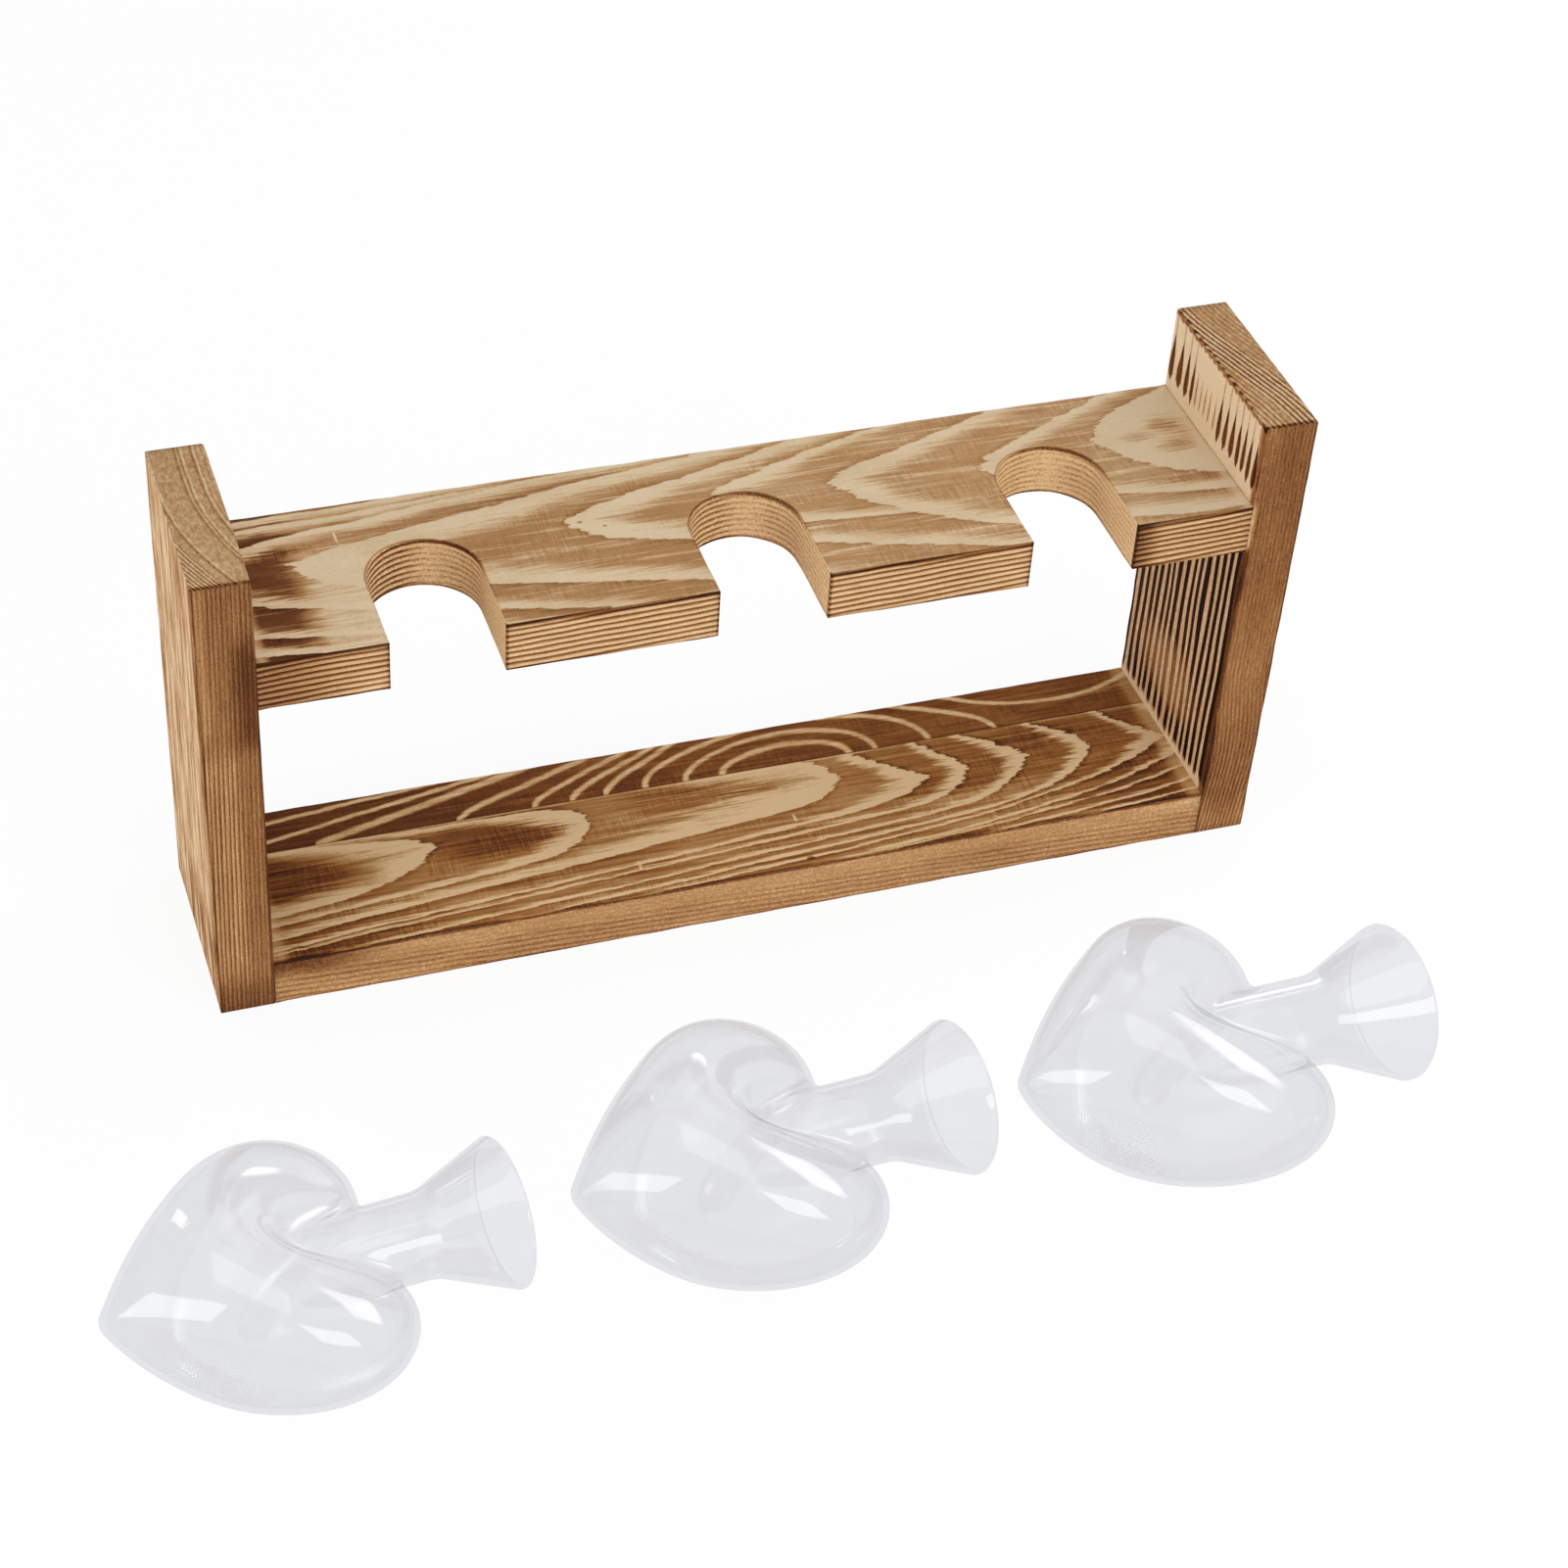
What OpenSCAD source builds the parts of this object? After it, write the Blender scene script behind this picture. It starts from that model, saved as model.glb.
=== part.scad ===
// Scorched pine rack with three heart-shaped glass vases.
// The origin is at the middle of the rack's underside, with +X along the rack, +Y towards
// its back and +Z up. The vases lie in front of the rack, on the surface that it stands on.
// In use each vase hangs in a slot of the shelf, carried by its flared mouth.

/* [Rack] */
// Length of the rack over both end boards
rack_length = 300; // [270:5:480]
// Depth of the rack from front to back
rack_depth = 60; // [52:1:90]
// Height of the end boards
rack_height = 142; // [136:1:200]
// Thickness of every board
board_thickness = 15; // [10:0.5:20]
// Height of the end boards above the shelf's top face
shelf_drop = 25; // [10:1:30]
// Width of the rear one of the two strips that are glued into the base
base_rear_width = 17; // [12:1:28]
// Chamfer along the boards' long edges
edge_ease = 0.6; // [0.2:0.1:1.5]

/* [Neck slots] */
// Width of a slot
slot_width = 30; // [26:0.5:34]
// Depth of a slot from the shelf's front edge to its round end
slot_depth = 40; // [25:1:46]
// Distance between the middles of two slots
slot_pitch = 86.5; // [84:0.5:96]

/* [Dowels] */
// Diameter of the hidden dowels
dowel_diameter = 6; // [4:0.5:8]
// Depth of a dowel hole in the end of the shelf or base
dowel_reach = 12; // [8:1:16]
// Wood left between a dowel hole and the end board's outer face
dowel_cover = 3; // [2:0.5:5]
// Room for glue round a dowel
dowel_side_gap = 0.05; // [0.02:0.01:0.1]
// Room for glue at each end of a dowel
dowel_end_gap = 0.5; // [0.2:0.1:1]

/* [Vase] */
// Height of a vase from its tip to its rim
vase_height = 107.8; // [104:0.2:116]
// Width over both lobes of the heart
vase_width = 81.2; // [74:0.5:84]
// Thickness of the heart from front to back
vase_thickness = 51.8; // [46:0.2:56]
// Thickness of the glass
glass_wall = 1.6; // [1:0.1:2.4]
// Radius of the tip
tip_radius = 4.8; // [4:0.1:7]
// Radius of a lobe, seen from the front
lobe_radius = 19.8; // [18:0.2:22]
// Height of the lobes' centres above the tip
lobe_height = 54.4; // [50:0.2:56]
// Radius of the long sides from the tip to the lobes
flank_radius = 150; // [90:5:240]
// Radius in the cleft between a lobe and the neck
cleft_radius = 3.9; // [2.4:0.1:5]
// Radius of the belly, seen from the side
belly_radius = 17.8; // [15:0.2:21]
// Height of the belly's centre above the tip
belly_height = 28.8; // [26:0.2:34]
// Radius from the tip to the belly, seen from the side
chin_radius = 70; // [60:5:160]
// Radius of the shoulder from the belly into the neck
shoulder_radius = 9.5; // [6:0.5:14]

/* [Vase mouth] */
// Outer diameter of the neck
neck_diameter = 22.8; // [20:0.2:25]
// Outer diameter of the mouth
mouth_diameter = 40.6; // [38:0.2:44]
// Radius of the curve from the neck into the flare
flare_radius = 15.5; // [10:0.5:20]
// Slope of the flare against the vase's axis, in degrees
flare_angle = 23; // [20:1:30]

/* [Vases at rest] */
// Size of the left vase against the sizes above
left_size_share = 0.955; // [0.92:0.005:1.08]
// Size of the middle vase against the sizes above
middle_size_share = 1.005; // [0.92:0.005:1.08]
// Size of the right vase against the sizes above
right_size_share = 1.05; // [0.92:0.005:1.08]
// Place of the left vase's middle along the rack
left_x = -157.1; // [-166:0.1:-154]
// Place of the middle vase's middle along the rack
middle_x = -38.3; // [-44:0.1:-34]
// Place of the right vase's middle along the rack
right_x = 83.1; // [80:0.1:100]
// Distance of the left vase's middle in front of the rack
left_front = 114.3; // [60:0.1:140]
// Distance of the middle vase's middle in front of the rack
middle_front = 106.9; // [60:0.1:140]
// Distance of the right vase's middle in front of the rack
right_front = 103.8; // [60:0.1:140]
// Turn of the left vase's axis away from the rack's length, in degrees
left_turn = 8.8; // [-10:0.1:12]
// Turn of the middle vase's axis away from the rack's length, in degrees
middle_turn = 7.2; // [-10:0.1:12]
// Turn of the right vase's axis away from the rack's length, in degrees
right_turn = 5.3; // [-10:0.1:12]

/* [Hidden] */
$fn = 96;

LEFT = -1;
RIGHT = 1;
FRONT = -1;
REAR = 1;
// Cuts run past the faces that they open by this much
overrun = 1;

board_colour = "burlywood";
shelf_colour = "tan";
base_colour = "peru";
dowel_colour = "wheat";
glass_colour = [0.85, 0.9, 0.92, 0.4];

// Boards
shelf_top = rack_height - shelf_drop;
shelf_bottom = shelf_top - board_thickness;
span_length = rack_length - 2 * board_thickness;
base_seam_y = rack_depth / 2 - base_rear_width;
slot_centre_y = slot_depth - slot_width / 2 - rack_depth / 2;

// Dowels, whose rear row runs along the middle of the base's rear strip
dowel_y = rack_depth / 2 - base_rear_width / 2;
hole_depth_in_board = board_thickness - dowel_cover;
shelf_dowel_z = shelf_top - board_thickness / 2;
base_dowel_z = board_thickness / 2;

// Vase, whose meridians are drawn in a plane with x across the axis and y up it
neck_radius = neck_diameter / 2;
mouth_radius = mouth_diameter / 2;
// The rim is a half circle between the two surfaces, at the vase's full height and width
rim_radius = glass_wall / 2;
rim_centre = [mouth_radius - rim_radius, vase_height - rim_radius];
slope_end = rim_centre + rim_radius * [cos(flare_angle), -sin(flare_angle)];
slope_run = slope_end.x - neck_radius - flare_radius * (1 - cos(flare_angle));
slope_length = slope_run / sin(flare_angle);
flare_bottom = slope_end.y - flare_radius * sin(flare_angle) - slope_length * cos(flare_angle);
// Steps along the tip, side, lobe, cleft, neck, curve of the flare and slope of the flare
outer_steps = [3, 7, 12, 4, 1, 4, 2];
inner_steps = [2, 5, 8, 3, 1, 3, 1];
rim_steps = 4;
steps_around = 32;

// A lying vase touches the surface with its belly and its rim
belly_centre = [belly_height, belly_radius - vase_thickness / 2];
rim_to_belly = belly_centre - [rim_centre.y, -rim_centre.x];
rest_turn = asin((belly_radius - rim_radius) / norm(rim_to_belly));
rest_pitch = 180 - atan2(rim_to_belly.y, rim_to_belly.x) - rest_turn;
rest_height = belly_radius - belly_centre.x * sin(rest_pitch) - belly_centre.y * cos(rest_pitch);
// The middle of a vase, which its place gives, is this far from the tip
middle_height = belly_height + belly_radius;

// Rectangle about the origin with chamfered corners
module eased_rectangle(width, height) {
    x = width / 2;
    y = height / 2;
    e = edge_ease;
    polygon([
        [e - x, -y], [x - e, -y], [x, e - y], [x, y - e],
        [x - e, y], [e - x, y], [-x, y - e], [-x, e - y]
    ]);
}

// Upright board with all its edges eased, standing at the origin
module upright_board() {
    intersection() {
        linear_extrude(rack_height)
            eased_rectangle(board_thickness, rack_depth);
        translate([0, 0, rack_height / 2])
            rotate([90, 0, 90])
                linear_extrude(board_thickness, center = true)
                    eased_rectangle(rack_depth, rack_height);
        translate([0, 0, rack_height / 2])
            rotate([90, 0, 0])
                linear_extrude(rack_depth, center = true)
                    eased_rectangle(board_thickness, rack_height);
    }
}

// Board between the end boards, with its long edges eased and its middle at the height z
module lying_board(z) {
    translate([0, 0, z])
        rotate([90, 0, 90])
            linear_extrude(span_length, center = true)
                eased_rectangle(rack_depth, board_thickness);
}

// Blind hole for one dowel, through the joint between an end board and a lying board
module dowel_hole(side, row, z) {
    translate([side * (span_length / 2 - dowel_reach), row * dowel_y, z])
        rotate([0, side * 90, 0])
            cylinder(h = dowel_reach + hole_depth_in_board, d = dowel_diameter + 2 * dowel_side_gap);
}

module dowel(side, row, z) {
    color(dowel_colour)
        translate([side * (span_length / 2 - dowel_reach + dowel_end_gap), row * dowel_y, z])
            rotate([0, side * 90, 0])
                cylinder(h = dowel_reach + hole_depth_in_board - 2 * dowel_end_gap, d = dowel_diameter);
}

module end_board(side) {
    color(board_colour)
        difference() {
            translate([side * (rack_length - board_thickness) / 2, 0, 0])
                upright_board();
            for (row = [FRONT, REAR], z = [shelf_dowel_z, base_dowel_z])
                dowel_hole(side, row, z);
        }
}

// Slot that is open to the front and ends in a half circle
module neck_slot() {
    translate([0, slot_centre_y, shelf_bottom - overrun])
        cylinder(h = board_thickness + 2 * overrun, d = slot_width);
    translate([-slot_width / 2, -rack_depth / 2 - overrun, shelf_bottom - overrun])
        cube([slot_width, slot_centre_y + rack_depth / 2 + overrun, board_thickness + 2 * overrun]);
}

module slotted_shelf() {
    color(shelf_colour)
        difference() {
            lying_board(shelf_dowel_z);
            for (place = [-1:1])
                translate([place * slot_pitch, 0, 0])
                    neck_slot();
            for (side = [LEFT, RIGHT], row = [FRONT, REAR])
                dowel_hole(side, row, shelf_dowel_z);
        }
}

// Strip of the base between two depths
module base_strip(from_y, to_y, row) {
    color(base_colour)
        difference() {
            intersection() {
                lying_board(base_dowel_z);
                translate([-span_length / 2, from_y, 0])
                    cube([span_length, to_y - from_y, board_thickness]);
            }
            for (side = [LEFT, RIGHT])
                dowel_hole(side, row, base_dowel_z);
        }
}

module base_front_strip() {
    base_strip(-rack_depth / 2, base_seam_y, FRONT);
}

module base_rear_strip() {
    base_strip(base_seam_y, rack_depth / 2, REAR);
}

// Points of an arc without its last one
function arc(centre, radius, from, to, steps) =
    [for (i = [0:steps - 1])
        let (a = from + (to - from) * i / steps)
        centre + radius * [cos(a), sin(a)]];

// Direction of b seen from a, in degrees
function direction(a, b) = atan2(b.y - a.y, b.x - a.x);

// Meridian from the tip to the rim, a depth below the outer surface. The tip and the bulge
// are circles, one large arc touches both from outside, and a fillet leads into the neck.
function meridian(reach, bulge_radius, bulge_height, side_radius, fillet_radius, depth, steps) =
    let (
        tip = [0, tip_radius],
        bulge = [reach - bulge_radius, bulge_height],
        gap = norm(bulge - tip),
        to_tip = side_radius - tip_radius,
        to_bulge = side_radius - bulge_radius,
        along = (to_tip * to_tip - to_bulge * to_bulge + gap * gap) / (2 * gap),
        across = sqrt(to_tip * to_tip - along * along),
        unit = (bulge - tip) / gap,
        side = tip + along * unit + across * [-unit.y, unit.x],
        fillet_x = neck_radius + fillet_radius,
        fillet_rise = sqrt(pow(bulge_radius + fillet_radius, 2) - pow(fillet_x - bulge.x, 2)),
        fillet = [fillet_x, bulge_height + fillet_rise],
        flare = [neck_radius + flare_radius, flare_bottom],
        flare_end = 180 - flare_angle,
        slope_start = flare + (flare_radius + depth) * [cos(flare_end), sin(flare_end)],
        slope = slope_length * [sin(flare_angle), cos(flare_angle)]
    )
    concat(
        arc(tip, tip_radius - depth, -90, direction(side, tip), steps[0]),
        arc(side, side_radius - depth, direction(side, tip), direction(side, bulge), steps[1]),
        arc(bulge, bulge_radius - depth, direction(side, bulge), direction(bulge, fillet), steps[2]),
        arc(fillet, fillet_radius + depth, direction(fillet, bulge), -180, steps[3]),
        [for (i = [0:steps[4] - 1])
            [neck_radius - depth, fillet.y + (flare_bottom - fillet.y) * i / steps[4]]],
        arc(flare, flare_radius + depth, 180, flare_end, steps[5]),
        [for (i = [0:steps[6]]) slope_start + slope * i / steps[6]]
    );

function front_meridian(depth, steps) = meridian(
    vase_width / 2, lobe_radius, lobe_height, flank_radius, cleft_radius, depth, steps);

function side_meridian(depth, steps) = meridian(
    vase_thickness / 2, belly_radius, belly_height, chin_radius, shoulder_radius, depth, steps);

// Half circle from the outer to the inner edge of the rim, without its ends
rim = [for (i = [1:rim_steps - 1])
    let (a = 180 * i / rim_steps - flare_angle)
    rim_centre + rim_radius * [cos(a), sin(a)]];

// Last to first point of a list
function reversed(list) = [for (i = [len(list) - 1:-1:0]) list[i]];

// One meridian runs from the outer tip over the rim to the inner tip. Rings blend the heart's
// front meridian into its side meridian.
front_points = concat(
    front_meridian(0, outer_steps), rim, reversed(front_meridian(glass_wall, inner_steps)));
side_points = concat(
    side_meridian(0, outer_steps), rim, reversed(side_meridian(glass_wall, inner_steps)));
last = len(front_points) - 1;

vase_points = concat(
    [[0, 0, 0]],
    [for (i = [1:last - 1], k = [0:steps_around - 1])
        let (
            a = 360 * k / steps_around,
            c = cos(a),
            s = sin(a)
        )
        [c * front_points[i].x, s * side_points[i].x,
         c * c * front_points[i].y + s * s * side_points[i].y]],
    [[0, 0, glass_wall]]
);

// Number of the point in a ring, and of the point after it
function ring_point(ring, k) = 1 + ring * steps_around + k % steps_around;

vase_faces = concat(
    [for (k = [0:steps_around - 1]) [0, ring_point(0, k), ring_point(0, k + 1)]],
    [for (ring = [0:last - 3], k = [0:steps_around - 1], half = [0, 1])
        half == 0
        ? [ring_point(ring, k), ring_point(ring + 1, k), ring_point(ring + 1, k + 1)]
        : [ring_point(ring, k), ring_point(ring + 1, k + 1), ring_point(ring, k + 1)]],
    [for (k = [0:steps_around - 1])
        [len(vase_points) - 1, ring_point(last - 2, k + 1), ring_point(last - 2, k)]]
);

// Vase that lies on the surface, with its mouth towards the right
module lying_vase(x, front, turn, size_share) {
    color(glass_colour)
        translate([x, -rack_depth / 2 - front, 0])
            rotate([0, 0, turn])
                scale(size_share)
                    translate([-middle_height * cos(rest_pitch), 0, rest_height])
                        rotate([0, 90 - rest_pitch, 0])
                            rotate([0, 0, 90])
                                polyhedron(vase_points, vase_faces);
}

module left_vase() {
    lying_vase(left_x, left_front, left_turn, left_size_share);
}

module middle_vase() {
    lying_vase(middle_x, middle_front, middle_turn, middle_size_share);
}

module right_vase() {
    lying_vase(right_x, right_front, right_turn, right_size_share);
}

end_board(LEFT);  // left_end_board
end_board(RIGHT);  // right_end_board
slotted_shelf();
base_front_strip();
base_rear_strip();
dowel(LEFT, FRONT, shelf_dowel_z);  // shelf_dowel_left_front
dowel(LEFT, REAR, shelf_dowel_z);  // shelf_dowel_left_rear
dowel(RIGHT, FRONT, shelf_dowel_z);  // shelf_dowel_right_front
dowel(RIGHT, REAR, shelf_dowel_z);  // shelf_dowel_right_rear
dowel(LEFT, FRONT, base_dowel_z);  // base_dowel_left_front
dowel(LEFT, REAR, base_dowel_z);  // base_dowel_left_rear
dowel(RIGHT, FRONT, base_dowel_z);  // base_dowel_right_front
dowel(RIGHT, REAR, base_dowel_z);  // base_dowel_right_rear
left_vase();
middle_vase();
right_vase();
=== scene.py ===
import math

import bmesh
import bpy
from mathutils import Matrix, Vector, noise


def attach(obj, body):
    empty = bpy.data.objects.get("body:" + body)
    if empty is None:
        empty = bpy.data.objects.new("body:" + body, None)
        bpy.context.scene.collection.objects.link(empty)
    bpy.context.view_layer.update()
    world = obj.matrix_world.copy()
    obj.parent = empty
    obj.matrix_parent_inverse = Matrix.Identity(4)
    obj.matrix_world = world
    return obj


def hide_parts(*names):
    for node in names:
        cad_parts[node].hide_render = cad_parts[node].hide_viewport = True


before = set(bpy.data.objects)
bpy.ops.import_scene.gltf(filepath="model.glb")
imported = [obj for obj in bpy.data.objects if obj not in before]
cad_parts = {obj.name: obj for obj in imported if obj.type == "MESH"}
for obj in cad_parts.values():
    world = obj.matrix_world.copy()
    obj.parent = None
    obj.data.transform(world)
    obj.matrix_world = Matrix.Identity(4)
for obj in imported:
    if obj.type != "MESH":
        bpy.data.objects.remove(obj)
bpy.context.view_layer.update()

# Metres in a millimetre
MM = 0.001

# Rack, in millimetres, with the values of the CAD source
RACK_LENGTH = 300
RACK_DEPTH = 60
RACK_HEIGHT = 142
BOARD = 15
SHELF_DROP = 25
BASE_REAR_WIDTH = 17
SLOT_RADIUS = 15
SLOT_DEPTH = 40
SLOT_PITCH = 86.5
SLOT_NUMBERS = (-1, 0, 1)
HALF_LENGTH = RACK_LENGTH / 2
HALF_DEPTH = RACK_DEPTH / 2
SPAN = HALF_LENGTH - BOARD
SHELF_TOP = RACK_HEIGHT - SHELF_DROP
SHELF_BOTTOM = SHELF_TOP - BOARD
BASE_SEAM_Y = HALF_DEPTH - BASE_REAR_WIDTH
SLOT_CENTRE_Y = SLOT_DEPTH - SLOT_RADIUS - HALF_DEPTH

# Vase, in millimetres, with the values of the CAD source. SKIN_SHARE keeps its finer skin inside
# the CAD solid's box.
VASE_HEIGHT = 107.8
VASE_WIDTH = 81.2
VASE_THICKNESS = 51.8
GLASS_WALL = 1.6
SKIN_SHARE = 0.9993
TIP_RADIUS = 4.8
LOBE_RADIUS = 19.8
LOBE_HEIGHT = 54.4
FLANK_RADIUS = 150
CLEFT_RADIUS = 3.9
BELLY_RADIUS = 17.8
BELLY_HEIGHT = 28.8
CHIN_RADIUS = 70
SHOULDER_RADIUS = 9.5
NECK_RADIUS = 11.4
MOUTH_RADIUS = 20.3
FLARE_RADIUS = 15.5
FLARE_ANGLE = math.radians(23)
RIM_RADIUS = GLASS_WALL / 2
RIM_MIDDLE = (MOUTH_RADIUS - RIM_RADIUS, VASE_HEIGHT - RIM_RADIUS)

# Body, place along the rack, distance in front of it, turn in degrees and share of the full size
VASES = (
    ("left_vase", -157.1, 114.3, 8.8, 0.955),
    ("middle_vase", -38.3, 106.9, 7.2, 1.005),
    ("right_vase", 83.1, 103.8, 5.3, 1.05),
)

# Camera, in degrees, metres and millimetres of lens, fitted to the corners of the rack
CAMERA_AZIMUTH = 21.191
CAMERA_ELEVATION = 40.657
CAMERA_ROLL = 4.261
CAMERA_PLACE = (-0.24224, -0.67089, 0.63728)
CAMERA_LENS = 76.70
SENSOR_WIDTH = 36

# Softboxes: name, compass direction and height angle in degrees, distance, width and height in
# metres, and brightness. They face a point near the vases.
SOFTBOXES = (
    ("overhead_box", -150, 75, 1.4, 1.1, 1.1, 1.4),
    ("front_box", 162, 31, 1.2, 0.75, 0.42, 3.6),
    ("left_box", -112, 9.0, 1.3, 0.9, 0.46, 3.3),
    ("right_box", 78, 34, 1.2, 0.65, 0.4, 3.6),
    ("back_box", 35, 20, 1.2, 0.3, 0.22, 3.8),
    ("far_left_box", -33, 26, 1.2, 0.22, 0.42, 3.6),
)
LAMP_TARGET = (-0.03, -0.08, 0.04)
ROOM_LIGHT = 0.5
FLOOR_REACH = 6
FLOOR_WHITENESS = 0.9
WHITE = (1.0, 1.0, 1.0, 1.0)

# Rounding of the boards' edges, in millimetres, and the angles that a rounded edge is built at
EDGE_EASE = 0.5
END_BOARD_EASE = 0.55
GLUED_EASE = 0.05
EASE_ANGLES = (0, 22.5, 45, 67.5, 90)

# Points round a vase, and on the stretches of its meridian: tip, side, bulge, fillet, neck, flare
# and mouth
VASE_AROUND = 96
MERIDIAN_STEPS = (6, 14, 26, 9, 4, 9, 6)
RIM_STEPS = 8
SLOT_STEPS = 32


# Colour as it looks on screen, turned into scene light
def srgb(r, g, b):
    def linear(v):
        v /= 255
        return v / 12.92 if v <= 0.04045 else ((v + 0.055) / 1.055) ** 2.4
    return (linear(r), linear(g), linear(b), 1.0)


# One value in a material's nodes, with the usual signs for arithmetic
class Wire:
    def __init__(self, socket):
        self.socket = socket

    def __add__(self, other):
        return math_node("ADD", self, other)

    def __radd__(self, other):
        return math_node("ADD", other, self)

    def __sub__(self, other):
        return math_node("SUBTRACT", self, other)

    def __rsub__(self, other):
        return math_node("SUBTRACT", other, self)

    def __mul__(self, other):
        return math_node("MULTIPLY", self, other)

    def __rmul__(self, other):
        return math_node("MULTIPLY", other, self)

    def __truediv__(self, other):
        return math_node("DIVIDE", self, other)

    def __rtruediv__(self, other):
        return math_node("DIVIDE", other, self)


# Node tree that new nodes go into
current = {}


def new_node(kind):
    return current["tree"].nodes.new(kind)


def plug(socket, value):
    if isinstance(value, Wire):
        current["tree"].links.new(value.socket, socket)
    else:
        socket.default_value = value


def math_node(operation, *values):
    node = new_node("ShaderNodeMath")
    node.operation = operation
    for socket, value in zip(node.inputs, values):
        plug(socket, value)
    return Wire(node.outputs[0])


def root(a):
    return math_node("SQRT", a)


def size(a):
    return math_node("ABSOLUTE", a)


def fraction(a):
    return math_node("FRACT", a)


def least(a, b):
    return math_node("MINIMUM", a, b)


def most(a, b):
    return math_node("MAXIMUM", a, b)


def power(a, b):
    return math_node("POWER", a, b)


# 0 to 1 as a value goes from low to high, smoothly or in a straight line. It falls from 1 to 0
# where high is the lower number.
def fade(value, low, high, smooth=True):
    node = new_node("ShaderNodeMapRange")
    node.interpolation_type = "SMOOTHSTEP" if smooth else "LINEAR"
    falling = not isinstance(high, Wire) and high < low
    plug(node.inputs["Value"], value)
    plug(node.inputs["From Min"], high if falling else low)
    plug(node.inputs["From Max"], low if falling else high)
    plug(node.inputs["To Min"], 1.0 if falling else 0.0)
    plug(node.inputs["To Max"], 0.0 if falling else 1.0)
    return Wire(node.outputs["Result"])


# a where share is 0, and b where it is 1
def blend(a, b, share):
    return a + (b - a) * share


# Soft spot, 1 in its middle and 0 past its reach
def spot_at(x, y, middle_x, middle_y, reach_x, reach_y):
    far = power((x - middle_x) / reach_x, 2) + power((y - middle_y) / reach_y, 2)
    return fade(far, 1.0, 0.0)


def vector(x, y, z):
    node = new_node("ShaderNodeCombineXYZ")
    for socket, value in zip(node.inputs, (x, y, z)):
        plug(socket, value)
    return Wire(node.outputs[0])


# Noise about 0, for a place in steps of the noise
def cloud(x, y, z, detail=2.0, roughness=0.5, seed=0.0):
    node = new_node("ShaderNodeTexNoise")
    node.noise_dimensions = "3D"
    plug(node.inputs["Vector"], vector(x, y, z + seed))
    node.inputs["Scale"].default_value = 1.0
    node.inputs["Detail"].default_value = detail
    node.inputs["Roughness"].default_value = roughness
    return Wire(node.outputs["Fac"]) - 0.5


def colour_mix(a, b, share):
    node = new_node("ShaderNodeMix")
    node.data_type = "RGBA"
    node.clamp_factor = True
    plug(node.inputs[0], share)
    plug(node.inputs[6], a)
    plug(node.inputs[7], b)
    return Wire(node.outputs[2])


# Place on the object in millimetres
def place():
    spot = new_node("ShaderNodeTexCoord")
    split = new_node("ShaderNodeSeparateXYZ")
    current["tree"].links.new(spot.outputs["Object"], split.inputs[0])
    return [Wire(socket) * 1000.0 for socket in split.outputs]


# How far the surface faces along each axis
def facing():
    spot = new_node("ShaderNodeNewGeometry")
    split = new_node("ShaderNodeSeparateXYZ")
    current["tree"].links.new(spot.outputs["True Normal"], split.inputs[0])
    return [Wire(socket) for socket in split.outputs]


# 1 on faces that lie flat and 0 on upright ones
def lying_flat():
    return fade(size(facing()[2]), 0.5, 0.8)


# Starts a material and gives its shader node
def begin(name):
    material = bpy.data.materials.new(name)
    material.use_nodes = True
    current["tree"] = material.node_tree
    shader = material.node_tree.nodes["Principled BSDF"]
    return material, shader


# Colour of the wood for how charred it is, from 0, pale, to 2, black-brown
def charred(value, steps):
    node = new_node("ShaderNodeValToRGB")
    ramp = node.color_ramp
    while len(ramp.elements) < len(steps):
        ramp.elements.new(1.0)
    for element, (position, colour) in zip(ramp.elements, steps):
        element.position = position / 2
        element.color = srgb(*colour)
    plug(node.inputs[0], value * 0.5)
    return Wire(node.outputs[0])


# Colours on the way from pale to charred, each with how charred it is
SHELF_CHAR = ((0.0, (230, 207, 172)), (0.35, (210, 176, 134)), (0.75, (184, 140, 94)),
              (1.15, (158, 112, 68)), (1.5, (116, 70, 40)), (2.0, (72, 38, 22)))
BASE_CHAR = ((0.0, (240, 208, 162)), (0.4, (202, 158, 104)), (0.9, (168, 111, 58)),
             (1.3, (122, 70, 36)), (1.6, (92, 52, 30)), (2.0, (58, 32, 20)))
END_CHAR = ((0.0, (252, 224, 186)), (0.4, (214, 168, 120)), (0.8, (168, 114, 68)),
            (1.2, (124, 74, 38)), (1.6, (72, 35, 14)), (2.0, (34, 13, 6)))
EDGE_CHAR = ((0.0, (252, 214, 164)), (0.5, (206, 158, 107)), (1.0, (160, 111, 68)),
             (1.4, (112, 67, 38)), (2.0, (62, 32, 18)))


# Fibres along the grain, fine fibres, and saw marks across it, each about 0
def grain_marks(along, a, b, seed):
    fibre = cloud(along * 0.06, a * 1.3, b * 1.3, 5.0, 0.68, seed) * 1.5
    speck = cloud(along * 1.3, a * 1.5, b * 1.5, 2.0, 0.8, seed + 16.0) * 1.5
    fine = cloud(along * 0.3, a * 3.2, b * 3.2, 4.0, 0.75, seed + 4.0) * 1.9 + speck
    patches = fade(cloud(along * 0.05, a * 0.1, b * 0.1, 1.0, 0.5, seed + 8.0), -0.12, 0.1)
    saw = cloud(along * 1.5, a * 0.12, b * 0.12, 2.0, 0.7, seed + 12.0) * patches * 2.2
    return fibre, fine, saw


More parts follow.
